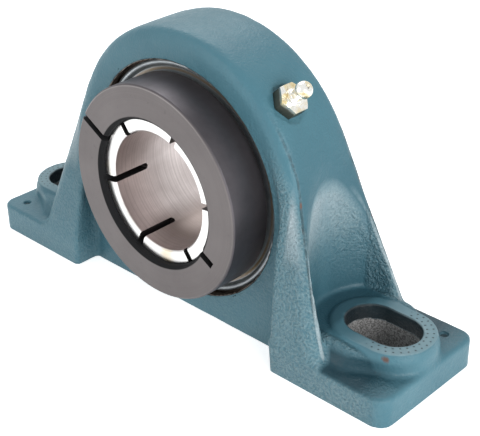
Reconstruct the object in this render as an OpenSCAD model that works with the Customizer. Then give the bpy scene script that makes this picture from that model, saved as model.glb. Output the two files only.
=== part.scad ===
// Pillow block bearing: a cast housing with a self-aligning ball bearing insert
// that grips its shaft with a split clamp collar over a slotted inner ring.
// Millimetres. Z is up and Y runs along the shaft. The origin lies on the base
// face, straight below the shaft centre.

/* [Housing] */
// Height of the shaft centre above the base face
shaft_height = 57.2; // [56.4:0.1:58.2]
// Thickness of the barrel over the insert's seat, at its crown
barrel_wall = 10.4; // [9.6:0.1:11.2]
// Width of the barrel along the shaft
barrel_width = 34.6; // [33.6:0.1:36]
// Half width of the flat crown before the barrel falls away
crown_flat = 8; // [6:0.5:10]
// How much the barrel falls from its crown to the edge bevel
crown_fall = 0.8; // [0.4:0.1:1.4]
// Depth of the edge bevel, measured along the radius
bevel_depth = 2.8; // [2:0.1:3.4]
// Width of the edge bevel, measured along the shaft
bevel_width = 2.2; // [1.6:0.1:3]
// Lean of the outer face of each leg from upright, in degrees
leg_lean = 18.5; // [17:0.5:20]
// How far the leg face lies inside the crown where they meet
leg_sink = 0.3; // [0.2:0.05:0.5]
// Half width of the gap between the legs at the floor
leg_gap = 58; // [57:0.5:59]
// Radius that the gap between the legs follows round the shaft
gap_radius = 54; // [52.5:0.5:55]
// Width of the pocket between the front and rear ribs
pocket_width = 45; // [43:0.5:46]
// Radius of the pocket's rear wall
pocket_radius = 25; // [24:0.5:25.5]
// How far the pocket's centre lies inboard of the bolt
pocket_setback = 4.2; // [3:0.2:5]

/* [Feet] */
// Overall length of the base
base_length = 223; // [221:0.5:227]
// Overall width of the base
base_width = 57.6; // [56:0.2:60]
// Thickness of each foot
foot_height = 12.5; // [11:0.5:13.5]
// Corner radius of each foot, seen from above
foot_corner = 6; // [4:0.5:8]
// Chamfer along the top edges of each foot
foot_chamfer = 1.4; // [0.8:0.1:2]
// Distance between the two bolt centres
bolt_spacing = 177.8; // [176:0.2:179]
// Width of each bolt slot
slot_width = 20.4; // [18:0.2:21]
// Length of each bolt slot
slot_length = 31; // [28:0.5:32]
// Height of the machined seat under the bolt head
seat_height = 21.2; // [20.4:0.1:22]
// Width of the ring of metal round the slot
seat_rim = 5.7; // [5:0.1:6]
// Height of the shoulder below the seat
shoulder_height = 19; // [17.5:0.1:19.8]
// How far the shoulder stands out from the seat
shoulder_step = 4.5; // [4:0.1:5]
// Height of the lower apron between the ribs
apron_height = 15; // [14:0.1:16]
// Radius of each dowel spot
dowel_radius = 2.2; // [1.5:0.1:2.5]
// Depth of each dowel spot
dowel_depth = 1; // [0.5:0.1:1.5]
// Distance of each dowel spot from the middle of the base, along its length
dowel_x = 104.5; // [104:0.1:105]
// Distance of each dowel spot from the middle of the base, across its width
dowel_y = 23; // [22.5:0.1:23.5]

/* [Bearing rings] */
// Bore for the shaft
shaft_bore = 49.2; // [48:0.1:50.8]
// Diameter of the spherical outside of the outer ring
sphere_diameter = 104; // [103.4:0.1:104.6]
// Width of the outer ring
outer_width = 23; // [22.6:0.1:23.4]
// Radius of the land inside the outer ring
outer_land = 43.2; // [42.8:0.1:43.4]
// Radius of the shoulders beside the inner raceway
inner_shoulder = 34.6; // [34.2:0.1:35]
// Width of the inner ring across its shoulders
shoulder_width = 26.4; // [26:0.1:26.8]
// Radius of the inner ring's rear end
tail_radius = 32; // [31:0.1:33]
// Distance of the inner ring's rear end from the ball row
tail_reach = 17.5; // [16:0.1:19]
// Outer radius of the fingers under the collar
finger_radius = 30; // [29.4:0.1:30.6]
// Distance of the fingers' ends from the ball row
finger_reach = 30.2; // [29.6:0.1:31]
// Number of slots between the fingers
slot_count = 6; // [4:1:8]
// Width of each slot between the fingers
finger_slot = 2.2; // [1.6:0.1:2.6]
// Distance of the slots' closed ends from the ball row
slot_end = 13; // [12:0.1:15]
// Turn of the first slot from level, in degrees
slot_turn = 6.6; // [0:0.1:20]
// Chamfer at both ends of the shaft bore
bore_chamfer = 0.7; // [0.3:0.1:1.2]

/* [Balls and cage] */
// Ball diameter
ball_diameter = 14.288; // [14.1:0.01:14.4]
// Diameter of the circle through the ball centres
pitch_diameter = 77.5; // [77.2:0.1:77.8]
// Radius of the raceway grooves across their width
groove_radius = 7.43; // [7.3:0.01:7.6]
// Thickness of the cage metal
cage_thickness = 0.9; // [0.7:0.05:1]
// Radial width of the cage
cage_width = 4.4; // [4:0.1:4.8]
// Radius of the rivets that hold the cage halves
rivet_radius = 0.9; // [0.7:0.05:1]
// Height of each rivet head
rivet_head = 0.8; // [0.5:0.05:1]

/* [Seals and flingers] */
// Radius of the seats for the seals in the outer ring
seal_seat = 44.6; // [44.3:0.1:44.9]
// Depth of the seats for the seals
seal_depth = 2.7; // [2.5:0.1:2.8]
// Metal thickness of the seal case
seal_metal = 0.8; // [0.6:0.1:0.9]
// Height of the seal case's rim
seal_rim = 2; // [1.6:0.1:2.2]
// Radius where the rubber lip is bonded into the case
lip_root = 38.5; // [38:0.1:39]
// Thickness of the rubber lip
lip_thickness = 1.3; // [1.1:0.1:1.4]
// Metal thickness of the flinger
flinger_metal = 1; // [0.8:0.1:1.1]
// Gap between the outer ring's face and the flinger
flinger_gap = 0.4; // [0.3:0.05:0.5]
// Radius of the middle of the flinger's rolled rim
rim_circle = 47.4; // [47:0.1:47.8]
// Radius of the rolled rim itself
rim_radius = 1.2; // [1.1:0.05:1.3]

/* [Clamp collar] */
// Outer diameter of the collar
collar_diameter = 88.4; // [87.8:0.1:88.6]
// Distance of the collar's front face from the ball row
collar_front = 33; // [32.4:0.1:34]
// Distance of the collar's rear face from the ball row
collar_rear = 14.2; // [13.8:0.1:14.6]
// Chamfer round the collar's outer edges
collar_chamfer = 0.8; // [0.4:0.1:1.2]
// Chamfer at the mouth of the collar's bore
mouth_chamfer = 1.2; // [0.8:0.1:1.6]
// Width of the slit through the collar
slit_width = 2; // [1.6:0.1:2.4]
// Direction of the slit, in degrees from level
slit_turn = 149.5; // [140:0.5:160]
// Width of the relief cut opposite the slit
relief_width = 2.2; // [1.6:0.1:2.4]
// How deep the relief cut goes into the collar wall
relief_depth = 7.5; // [6:0.1:8.5]
// Radius of the clamp screw
screw_radius = 3; // [2.8:0.1:3.1]
// Radius of the clamp screw's head
screw_head = 5; // [4.8:0.1:5.1]
// Distance of the clamp screw from the shaft centre
screw_offset = 37.2; // [37:0.1:37.4]
// Distance from the slit to the seat of the screw head
screw_seat = 9; // [8:0.1:10]
// Length of the screw below its head
screw_length = 22; // [20:0.5:24]
// Width across the flats of the screw's socket
socket_flats = 5; // [4:0.1:5.5]

/* [Grease fitting] */
// Direction of the fitting, in degrees from level
fitting_turn = 43; // [40:0.5:47]
// Distance of the fitting from the middle of the barrel
fitting_offset = 5.4; // [5.2:0.1:5.8]
// Radius of the flat under the fitting
fitting_flat = 7.2; // [7:0.1:8]
// Depth of that flat below the crown
flat_depth = 1; // [0.8:0.1:1.4]
// Width of the fitting's hexagon across its flats
fitting_hex = 11.1; // [10.6:0.1:11.4]
// Height of the hexagon
hex_height = 5.2; // [4.6:0.1:5.8]
// Radius of the fitting's thread
fitting_thread = 4.9; // [4.6:0.1:5]
// Length of the fitting's thread
thread_length = 7; // [6:0.1:7.4]
// Radius of the nipple's ball head
nipple_radius = 3.3; // [3.2:0.05:3.5]
// Radius of the neck under the ball head
neck_radius = 2.5; // [2.3:0.05:2.7]
// Height of the ball head's centre above the flat
nipple_height = 11; // [10.6:0.1:11.4]
// Radius of the check ball
check_radius = 1.05; // [1:0.01:1.1]
// Travel of the check ball off its seat
check_travel = 0.6; // [0.4:0.05:0.65]
// Radius of the drilling that carries grease to the seat
grease_drill = 1.75; // [1.5:0.05:1.9]
// Width of the grease groove round the outer ring
grease_groove = 2.6; // [2.2:0.1:2.8]
// Depth of the grease groove
groove_depth = 1; // [0.8:0.1:1.2]

/* [Anti-rotation pin] */
// Radius of the pin that stops the outer ring turning
pin_radius = 2; // [1.8:0.1:2.1]
// How deep the pin sits in the outer ring
pin_depth = 3.8; // [3.4:0.1:4]
// How far the pin stands out of the outer ring
pin_stand = 2.5; // [2.2:0.1:2.8]
// Tilt that the seat allows each way, in degrees
tilt_limit = 2; // [1:0.1:2.2]

/* [Fits] */
// Radial clearance of the spherical seat
seat_clearance = 0.04; // [0.02:0.01:0.08]
// Clearance between a ball and each raceway
ball_clearance = 0.03; // [0.02:0.01:0.05]
// Clearance between a ball and its cage pocket
cage_clearance = 0.07; // [0.05:0.01:0.09]
// Clearance where pieces are pressed or bonded together
press_clearance = 0.02; // [0.01:0.01:0.03]
// Clearance between the collar and the fingers
collar_clearance = 0.05; // [0.02:0.01:0.08]
// Clearance round screws and threads
thread_clearance = 0.05; // [0.03:0.01:0.08]
// Running clearance of the lips and of the pin
running_clearance = 0.05; // [0.03:0.01:0.08]

/* [Hidden] */
$fn = 96;
// Cutters run this far past the faces they cut
over = 1;
base_half = base_length / 2;
barrel_half = barrel_width / 2;
bolt_x = bolt_spacing / 2;
slot_radius = slot_width / 2;
slot_half = (slot_length - slot_width) / 2;
seat_radius = slot_radius + seat_rim;
shoulder_radius = seat_radius + shoulder_step;
sphere_radius = sphere_diameter / 2;
crown_radius = sphere_radius + barrel_wall;
// The leg faces run tangent to a circle just inside the crown
leg_radius = crown_radius - leg_sink;
leg_top_x = leg_radius * cos(leg_lean);
leg_top_z = shaft_height + leg_radius * sin(leg_lean);
leg_foot_x = (leg_radius + shaft_height * sin(leg_lean)) / cos(leg_lean);
// The legs' edge bevels carry on from the bevel round the barrel
leg_bevel_depth = bevel_depth + crown_fall - leg_sink;
leg_bevel_width = bevel_width * leg_bevel_depth / bevel_depth;
mouth_rise = 0.8;
gap_top = gap_radius - over;
pocket_x = bolt_x - pocket_setback;
seat_sphere = sphere_radius + seat_clearance;
outer_half = outer_width / 2;
loading_half = outer_half + 0.3;
bore_radius = shaft_bore / 2;
shoulder_half = shoulder_width / 2;
ball_radius = ball_diameter / 2;
ball_count = 10;
ball_step = 360 / ball_count;
pitch_radius = pitch_diameter / 2;
outer_race = pitch_radius + ball_radius + ball_clearance;
inner_race = pitch_radius - ball_radius - ball_clearance;
pocket_ball = ball_radius + cage_clearance;
cage_cup = pocket_ball + cage_thickness;
cage_inner = pitch_radius - cage_width / 2;
cage_outer = pitch_radius + cage_width / 2;
rivet_head_radius = 1.9 * rivet_radius;
seal_floor = outer_half - seal_depth;
flinger_face = outer_half + flinger_gap;
flinger_outer = flinger_face + flinger_metal;
flinger_hub = 1.2;
rim_lift = 0.15;

collar_radius = collar_diameter / 2;
collar_bore = finger_radius + collar_clearance;
screw_y = -(collar_front + collar_rear) / 2;
head_height = 2 * screw_radius;
head_clearance = 0.4;
socket_depth = screw_radius;
hex_corner = 1 / cos(30);

fitting_seat = crown_radius - flat_depth;
thread_hole = thread_length + 0.6;
hex_edge = 0.7;
nipple_flat = 0.8;
neck_top = nipple_height - nipple_radius * 0.75;
nipple_top = nipple_height + nipple_radius * nipple_flat;
orifice_radius = 0.8;
orifice_length = 0.8;
chamber_radius = check_radius + 0.2;
chamber_top = nipple_top - orifice_length;
check_rest = chamber_top - sqrt(pow(check_radius, 2) - pow(orifice_radius, 2)) - ball_clearance;
spring_wire = 0.2;
spring_circle = chamber_radius - spring_wire - running_clearance;
spring_pitch = 1.8 * spring_wire;
spring_turns = 16;
spring_top = check_rest - sqrt(pow(check_radius + spring_wire, 2) - pow(spring_circle, 2)) - check_travel - running_clearance;
spring_floor = spring_top - (spring_turns - 1) * spring_pitch - spring_wire;
spring_seat = spring_floor - running_clearance;
feed_radius = chamber_radius - 0.45;
// The grease groove lies between the raceway and the seal seat
groove_y = -(seal_floor + sqrt(pow(groove_radius, 2) - pow(groove_radius - outer_race + outer_land, 2))) / 2;
grease_hole = 0.75;
grease_hole_count = 3;

pin_slide = seat_sphere * sin(tilt_limit) + running_clearance;
pin_slot_top = sphere_radius + pin_stand + 0.4;

paint = [0.33, 0.50, 0.56];
bright_steel = [0.80, 0.80, 0.80];
ground_steel = [0.66, 0.64, 0.63];
black_oxide = [0.27, 0.26, 0.28];
brass_tint = [0.76, 0.68, 0.42];
cage_steel = [0.70, 0.68, 0.62];
rubber_tint = [0.45, 0.32, 0.16];

// Moves what is drawn round the origin to the shaft centre
module at_shaft() {
    translate([0, 0, shaft_height]) children();
}

// Turns the Z axis of what is drawn onto the shaft's Y axis
module along_shaft() {
    rotate([-90, 0, 0]) children();
}

// Places what is drawn along +X at an angle seen from the front
module at_angle(angle) {
    rotate([0, -angle, 0]) children();
}

// A cylinder on the shaft axis from y0 to y1
module shaft_cylinder(radius, y0, y1) {
    translate([0, y0, 0]) along_shaft() cylinder(h = y1 - y0, r = radius);
}

// A cone on the shaft axis from y0 to y1
module shaft_cone(radius0, radius1, y0, y1) {
    translate([0, y0, 0]) along_shaft() cylinder(h = y1 - y0, r1 = radius0, r2 = radius1);
}

// A ring on the shaft axis turned from a profile of [radius, y] points
module shaft_turning(profile) {
    along_shaft() rotate_extrude() polygon(profile);
}

// Copies what is drawn to the front, and mirrored to the rear
module front_and_rear() {
    children();
    mirror([0, 1, 0]) children();
}

// Copies what is drawn to the right foot, and mirrored to the left
module both_feet() {
    children();
    mirror([1, 0, 0]) children();
}

// The ball positions round the pitch circle
module at_ball(index) {
    at_angle(90 + index * ball_step) translate([pitch_radius, 0, 0]) children();
}

// A flat shape with round ends, centred on the bolt
module slot_outline(radius) {
    for (side = [-1, 1]) translate([bolt_x + side * slot_half, 0]) circle(r = radius);
    translate([bolt_x - slot_half, -radius]) square([2 * slot_half, 2 * radius]);
}

// A flat shape with one round end that runs back under the body
module apron_outline(radius) {
    inner_x = pocket_x - pocket_radius - over;
    translate([bolt_x + slot_half, 0]) circle(r = radius);
    translate([inner_x, -radius]) square([bolt_x + slot_half - inner_x, 2 * radius]);
}

// The barrel round the insert, with a slight crown and bevelled edges
module barrel() {
    edge_radius = crown_radius - crown_fall;
    edge_y = barrel_half - bevel_width;
    face_radius = edge_radius - bevel_depth;
    at_shaft() shaft_turning([
        [0, -barrel_half], [face_radius, -barrel_half], [edge_radius, -edge_y],
        [crown_radius, -crown_flat], [crown_radius, crown_flat],
        [edge_radius, edge_y], [face_radius, barrel_half], [0, barrel_half]]);
}

// The bevel along the outer edge of one leg, as a bar to cut away
module leg_bevel() {
    rise = leg_top_z - foot_height;
    run = rise * tan(leg_lean);
    flare = base_width / 2 - barrel_half;
    turn = atan2(flare, run);
    tip = atan2(norm([run, flare]), -rise);
    depth = leg_bevel_depth / cos(leg_lean);
    on_side = leg_bevel_width * [-cos(tip) * sin(turn), -cos(turn)];
    on_front = depth * [-cos(tip) * cos(turn), sin(turn)];
    translate([leg_top_x, barrel_half, leg_top_z]) rotate([0, tip, turn])
        translate([0, 0, -bevel_width]) linear_extrude(norm([run, flare, rise]) + 2 * bevel_width)
            polygon([2 * on_side - on_front, 2 * on_front - on_side, -2 * (on_side + on_front)]);
}

// The two legs as one body, tangent to the barrel and tapered to its width
module legs() {
    difference() {
        leg_block();
        both_feet() front_and_rear() leg_bevel();
    }
}

// The legs before their edges are bevelled
module leg_block() {
    intersection() {
        translate([0, base_width / 2, 0]) rotate([90, 0, 0]) linear_extrude(base_width)
            polygon([[-leg_foot_x, 0], [leg_foot_x, 0], [leg_top_x, leg_top_z], [-leg_top_x, leg_top_z]]);
        translate([-base_half, 0, 0]) rotate([90, 0, 90]) linear_extrude(base_length)
            polygon([[-base_width / 2, 0], [base_width / 2, 0], [base_width / 2, foot_height],
                [barrel_half, leg_top_z], [-barrel_half, leg_top_z], [-base_width / 2, foot_height]]);
    }
}

// One foot: a plate with round corners and chamfered top edges
module foot() {
    inner_x = leg_gap;
    corner_x = base_half - foot_corner;
    corner_y = base_width / 2 - foot_corner;
    intersection() {
        linear_extrude(foot_height) {
            translate([inner_x, -base_width / 2]) square([corner_x - inner_x, base_width]);
            translate([inner_x, -corner_y]) square([base_half - inner_x, 2 * corner_y]);
            for (side = [-1, 1]) translate([corner_x, side * corner_y]) circle(r = foot_corner);
        }
        translate([0, base_width / 2, 0]) rotate([90, 0, 0]) linear_extrude(base_width)
            polygon([[0, 0], [base_half, 0], [base_half, foot_height - foot_chamfer],
                [base_half - foot_chamfer, foot_height], [0, foot_height]]);
        rotate([90, 0, 90]) linear_extrude(base_half)
            polygon([[-base_width / 2, 0], [base_width / 2, 0],
                [base_width / 2, foot_height - foot_chamfer],
                [base_width / 2 - foot_chamfer, foot_height],
                [-base_width / 2 + foot_chamfer, foot_height],
                [-base_width / 2, foot_height - foot_chamfer]]);
    }
}

// The stepped seat under one bolt, cut off flush with the end of the foot
module bolt_seat() {
    intersection() {
        union() {
            linear_extrude(seat_height) slot_outline(seat_radius);
            linear_extrude(shoulder_height) apron_outline(shoulder_radius);
            linear_extrude(apron_height) apron_outline(pocket_width / 2);
        }
        translate([0, -base_width / 2, 0]) cube([base_half, base_width, seat_height]);
    }
}

// The space above one bolt seat, between the ribs
module pocket() {
    intersection() {
        translate([pocket_x, 0, foot_height]) union() {
            cylinder(h = crown_radius + shaft_height, r = pocket_radius);
            translate([0, -pocket_radius, 0]) cube([base_half, 2 * pocket_radius, crown_radius + shaft_height]);
        }
        translate([0, -pocket_width / 2, 0]) cube([2 * base_half, pocket_width, crown_radius + shaft_height]);
    }
}

// The gap between the legs in front of the barrel's face
module leg_relief() {
    depth = base_width / 2 - barrel_half + over;
    translate([0, -barrel_half, 0]) rotate([90, 0, 0]) linear_extrude(depth) {
        polygon([[-leg_gap, -over], [leg_gap, -over], [gap_top, shaft_height], [-gap_top, shaft_height]]);
        translate([0, shaft_height]) circle(r = gap_radius);
    }
}

// The spherical seat, its bevelled mouths and the notches that let the insert in
module insert_seat() {
    mouth = sqrt(pow(seat_sphere, 2) - pow(barrel_half, 2));
    along_shaft() sphere(r = seat_sphere);
    front_and_rear() shaft_cone(mouth + mouth_rise + over, mouth, -barrel_half - over, -barrel_half + mouth_rise);
    intersection() {
        shaft_cylinder(seat_sphere, 0, barrel_half + over);
        translate([-crown_radius, 0, -loading_half])
            cube([2 * crown_radius, barrel_half + over, 2 * loading_half]);
    }
}

// The short slot at the top of the seat that the pin slides in
module pin_slot() {
    slot_height = pin_slot_top - sphere_radius / 2;
    width = pin_radius + running_clearance;
    translate([0, 0, sphere_radius / 2]) {
        for (side = [-1, 1]) translate([0, side * pin_slide, 0]) cylinder(h = slot_height, r = width);
        translate([-width, -pin_slide, 0]) cube([2 * width, 2 * pin_slide, slot_height]);
    }
}

// Frame of the grease fitting: Z points out along its axis, from the flat
module at_fitting() {
    at_shaft() translate([0, -fitting_offset, 0]) at_angle(fitting_turn)
        translate([fitting_seat, 0, 0]) rotate([0, 90, 0]) children();
}

// The flat, the tapped hole and the drilling for the grease fitting
module fitting_hole() {
    cylinder(h = 3 * flat_depth, r = fitting_flat);
    translate([0, 0, -thread_hole]) cylinder(h = thread_hole + over, r = fitting_thread + thread_clearance);
    drilling = fitting_seat - sphere_radius + 4 * over;
    translate([0, 0, -drilling]) cylinder(h = drilling, r = grease_drill);
}

module housing() {
    color(paint) difference() {
        union() {
            difference() {
                union() {
                    barrel();
                    legs();
                    both_feet() foot();
                }
                both_feet() pocket();
            }
            both_feet() bolt_seat();
        }
        front_and_rear() leg_relief();
        both_feet() translate([0, 0, -over]) linear_extrude(seat_height + 2 * over) slot_outline(slot_radius);
        translate([-base_half, -base_width, -crown_radius]) cube([base_length, 2 * base_width, crown_radius]);
        at_shaft() insert_seat();
        at_shaft() pin_slot();
        at_fitting() fitting_hole();
        for (side = [-1, 1]) translate([side * dowel_x, side * dowel_y, foot_height - dowel_depth])
            cylinder(h = 2 * dowel_depth, r = dowel_radius);
    }
}

// A raceway groove round the shaft whose floor lies at the given radius
module raceway(centre_radius) {
    along_shaft() rotate_extrude() translate([centre_radius, 0]) circle(r = groove_radius);
}

module outer_ring() {
    color(black_oxide) at_shaft() difference() {
        intersection() {
            along_shaft() sphere(r = sphere_radius);
            shaft_cylinder(sphere_radius + over, -outer_half, outer_half);
        }
        shaft_cylinder(outer_land, -outer_width, outer_width);
        raceway(outer_race - groove_radius);
        front_and_rear() shaft_cylinder(seal_seat + press_clearance, -outer_width, -seal_floor);
        difference() {
            shaft_cylinder(sphere_radius + over, groove_y - grease_groove / 2, groove_y + grease_groove / 2);
            shaft_cylinder(sphere_radius - groove_depth, -outer_width, outer_width);
        }
        for (i = [0:grease_hole_count - 1]) at_angle(fitting_turn + i * 360 / grease_hole_count)
            translate([outer_land - over, groove_y, 0]) rotate([0, 90, 0])
                cylinder(h = sphere_radius - outer_land + 2 * over, r = grease_hole);
        translate([0, 0, sphere_radius - pin_depth]) cylinder(h = 2 * pin_depth, r = pin_radius + running_clearance);
    }
}

module anti_rotation_pin() {
    color(bright_steel) at_shaft() translate([0, 0, sphere_radius - pin_depth + running_clearance])
        cylinder(h = pin_depth + pin_stand, r = pin_radius);
}

module inner_ring() {
    color(ground_steel) at_shaft() difference() {
        union() {
            shaft_cylinder(finger_radius, -finger_reach, 0);
            shaft_cylinder(inner_shoulder, -shoulder_half, shoulder_half);
            shaft_cylinder(tail_radius, 0, tail_reach);
        }
        shaft_cylinder(bore_radius, -2 * finger_reach, 2 * finger_reach);
        shaft_cone(bore_radius + bore_chamfer + over, bore_radius, -finger_reach - over, -finger_reach + bore_chamfer);
        shaft_cone(bore_radius, bore_radius + bore_chamfer + over, tail_reach - bore_chamfer, tail_reach + over);
        raceway(inner_race + groove_radius);
        for (i = [0:slot_count - 1]) at_angle(slot_turn + i * 360 / slot_count) finger_cut();
    }
}

// One slot between two fingers, open at the front and round at its end
module finger_cut() {
    round_y = -slot_end - finger_slot / 2;
    length = finger_reach + over + round_y;
    translate([0, -finger_reach - over, -finger_slot / 2]) cube([inner_shoulder + over, length, finger_slot]);
    translate([0, round_y, 0]) rotate([0, 90, 0]) cylinder(h = inner_shoulder + over, r = finger_slot / 2);
}

module ball(index) {
    color(bright_steel) at_shaft() at_ball(index) sphere(r = ball_radius);
}

// A tube on the shaft axis as wide as the cage, from y0 to y1
module cage_tube(y0, y1) {
    difference() {
        shaft_cylinder(cage_outer, y0, y1);
        shaft_cylinder(cage_inner, y0 - over, y1 + over);
    }
}

// One half of the pressed cage, on the front side of the ball row
module cage_half() {
    parting = press_clearance / 2;
    difference() {
        union() {
            cage_tube(-cage_thickness, -parting);
            intersection() {
                cage_tube(-cage_cup - over, -parting);
                union() for (i = [0:ball_count - 1]) at_ball(i) sphere(r = cage_cup);
            }
        }
        for (i = [0:ball_count - 1]) at_ball(i) sphere(r = pocket_ball);
        for (i = [0:ball_count - 1]) at_ball(i + 0.5)
            shaft_cylinder(rivet_radius + press_clearance, -cage_cup, over);
    }
}

module cage_front() {
    color(cage_steel) at_shaft() cage_half();
}

module cage_rear() {
    color(cage_steel) at_shaft() mirror([0, 1, 0]) cage_half();
}

module cage_rivets() {
    head_face = cage_thickness + press_clearance;
    color(bright_steel) at_shaft() for (i = [0:ball_count - 1]) at_ball(i + 0.5) {
        shaft_cylinder(rivet_radius, -head_face - rivet_head, head_face + rivet_head);
        front_and_rear() shaft_cylinder(rivet_head_radius, -head_face - rivet_head, -head_face);
    }
}

// The pressed case of the front seal
module seal_case() {
    floor_y = seal_floor + press_clearance;
    shaft_turning([
        [lip_root, -floor_y], [seal_seat, -floor_y],
        [seal_seat, -floor_y - seal_rim], [seal_seat - seal_metal, -floor_y - seal_rim],
        [seal_seat - seal_metal, -floor_y - seal_metal], [lip_root, -floor_y - seal_metal]]);
}

// The rubber lip of the front seal, thin where it meets the inner ring
module seal_lip() {
    floor_y = seal_floor + press_clearance;
    root = lip_root - press_clearance;
    tip = inner_shoulder + running_clearance;
    shaft_turning([
        [root, -floor_y], [root, -floor_y - lip_thickness],
        [tip, -floor_y - lip_thickness], [tip, -floor_y - lip_thickness / 2],
        [tip + lip_thickness, -floor_y]]);
}

// The front flinger: a pressed disc with a rolled rim and a short hub
module flinger() {
    hub = inner_shoulder + press_clearance;
    rim_y = flinger_face + rim_radius + rim_lift;
    edge = rim_circle + rim_lift;
    shaft_turning([
        [hub, -flinger_face], [edge, -flinger_face], [edge, -flinger_outer],
        [hub + flinger_hub, -flinger_outer], [hub + flinger_hub, -shoulder_half], [hub, -shoulder_half]]);
    translate([0, -rim_y, 0]) along_shaft() rotate_extrude() translate([rim_circle, 0]) circle(r = rim_radius);
}

module front_seal_case() {
    color(bright_steel) at_shaft() seal_case();
}

module rear_seal_case() {
    color(bright_steel) at_shaft() mirror([0, 1, 0]) seal_case();
}

module front_seal_lip() {
    color(rubber_tint) at_shaft() seal_lip();
}

module rear_seal_lip() {
    color(rubber_tint) at_shaft() mirror([0, 1, 0]) seal_lip();
}

module front_flinger() {
    color(bright_steel) at_shaft() flinger();
}

module rear_flinger() {
    color(bright_steel) at_shaft() mirror([0, 1, 0]) flinger();
}

// Frame of the clamp screw: Z runs along it, from the middle of the slit
module at_screw() {
    at_shaft() at_angle(slit_turn) translate([screw_offset, screw_y, 0]) children();
}

module clamp_collar() {
    color(black_oxide) difference() {
        at_shaft() shaft_turning([
            [collar_bore, -collar_rear], [collar_radius - collar_chamfer, -collar_rear],
            [collar_radius, -collar_rear - collar_chamfer], [collar_radius, -collar_front + collar_chamfer],
            [collar_radius - collar_chamfer, -collar_front], [collar_bore + mouth_chamfer, -collar_front],
            [collar_bore, -collar_front + mouth_chamfer]]);
        at_shaft() at_angle(slit_turn) translate([0, -2 * collar_front, -slit_width / 2])
            cube([2 * collar_radius, 2 * collar_front, slit_width]);
        at_shaft() at_angle(slit_turn + 180) translate([0, -2 * collar_front, -relief_width / 2])
            cube([collar_bore + relief_depth, 2 * collar_front, relief_width]);
        at_screw() {
            translate([0, 0, -screw_length]) cylinder(h = 2 * screw_length, r = screw_radius + thread_clearance);
            translate([0, 0, screw_seat]) cylinder(h = collar_radius, r = screw_head + head_clearance);
        }
    }
}

module collar_screw() {
    head_base = screw_seat + press_clearance;
    color(black_oxide) at_screw() difference() {
        union() {
            translate([0, 0, head_base]) cylinder(h = head_height, r = screw_head);
            translate([0, 0, head_base - screw_length]) cylinder(h = screw_length, r = screw_radius);
        }
        translate([0, 0, head_base + head_height - socket_depth])
            cylinder(h = socket_depth + over, r = socket_flats / 2 * hex_corner, $fn = 6);
    }
}

// The fitting's hexagon, with its upper corners turned off
module fitting_hexagon() {
    corner = fitting_hex / 2 * hex_corner;
    intersection() {
        cylinder(h = hex_height, r = corner, $fn = 6);
        rotate_extrude() polygon([[0, 0], [corner, 0], [corner, hex_height - hex_edge / 2],
            [corner - hex_edge, hex_height], [0, hex_height]]);
    }
}

module grease_fitting() {
    color(brass_tint) at_fitting() difference() {
        union() {
            fitting_hexagon();
            translate([0, 0, -thread_length]) cylinder(h = thread_length + over, r = fitting_thread);
            translate([0, 0, hex_height - over]) cylinder(h = neck_top - hex_height + 2 * over, r = neck_radius);
            translate([0, 0, hex_height - over]) cylinder(h = 2 * over, r = nipple_radius);
            intersection() {
                translate([0, 0, nipple_height]) sphere(r = nipple_radius);
                cylinder(h = nipple_top, r = nipple_radius + over);
            }
        }
        translate([0, 0, spring_seat]) cylinder(h = chamber_top - spring_seat, r = chamber_radius);
        translate([0, 0, chamber_top - over]) cylinder(h = orifice_length + 2 * over, r = orifice_radius);
        translate([0, 0, -thread_length - over]) cylinder(h = spring_seat + thread_length + 2 * over, r = feed_radius);
    }
}

// The check spring, drawn as closed turns of wire
module fitting_spring() {
    color(bright_steel) at_fitting() for (i = [0:spring_turns - 1])
        translate([0, 0, spring_floor + spring_wire + i * spring_pitch])
            rotate_extrude() translate([spring_circle, 0]) circle(r = spring_wire, $fn = 24);
}

module fitting_check_ball() {
    color(bright_steel) at_fitting() translate([0, 0, check_rest]) sphere(r = check_radius);
}

housing();
outer_ring();
anti_rotation_pin();
inner_ring();
ball(0);  // ball_01
ball(1);  // ball_02
ball(2);  // ball_03
ball(3);  // ball_04
ball(4);  // ball_05
ball(5);  // ball_06
ball(6);  // ball_07
ball(7);  // ball_08
ball(8);  // ball_09
ball(9);  // ball_10
cage_front();
cage_rear();
cage_rivets();
front_seal_case();
rear_seal_case();
front_seal_lip();
rear_seal_lip();
front_flinger();
rear_flinger();
clamp_collar();
collar_screw();
grease_fitting();
fitting_spring();
fitting_check_ball();
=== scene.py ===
import math
from types import SimpleNamespace

import bmesh
import bpy
import numpy as np
from mathutils import Matrix, Vector


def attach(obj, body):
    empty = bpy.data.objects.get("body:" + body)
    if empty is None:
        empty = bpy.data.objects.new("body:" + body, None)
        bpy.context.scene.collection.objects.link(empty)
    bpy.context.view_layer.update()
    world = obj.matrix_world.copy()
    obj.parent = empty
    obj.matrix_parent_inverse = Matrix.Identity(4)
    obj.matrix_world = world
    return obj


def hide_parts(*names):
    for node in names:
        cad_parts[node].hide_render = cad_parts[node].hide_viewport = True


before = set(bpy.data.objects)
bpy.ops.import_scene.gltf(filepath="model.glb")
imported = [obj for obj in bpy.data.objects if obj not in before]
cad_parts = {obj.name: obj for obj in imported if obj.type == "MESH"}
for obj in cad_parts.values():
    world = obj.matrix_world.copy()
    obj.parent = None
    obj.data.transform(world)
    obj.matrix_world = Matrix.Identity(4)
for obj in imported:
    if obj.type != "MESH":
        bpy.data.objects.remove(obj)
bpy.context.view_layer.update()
print("frame loaded, nodes:", len(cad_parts))

# sizes are in mm and angles in degrees
mm = 0.001
shaftHeight = 57.2
clear = 2  # how far a cutter stands out of what it cuts
# sets what is drawn round Z onto the shaft axis, its own Z pointing along +Y
shaftPlace = Matrix.Translation((0, 0, shaftHeight)) @ Matrix.Rotation(math.radians(-90), 4, "X")


def dotted(values):
    # lets a function read a dictionary as h.footHeight
    return SimpleNamespace(**values)


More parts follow.
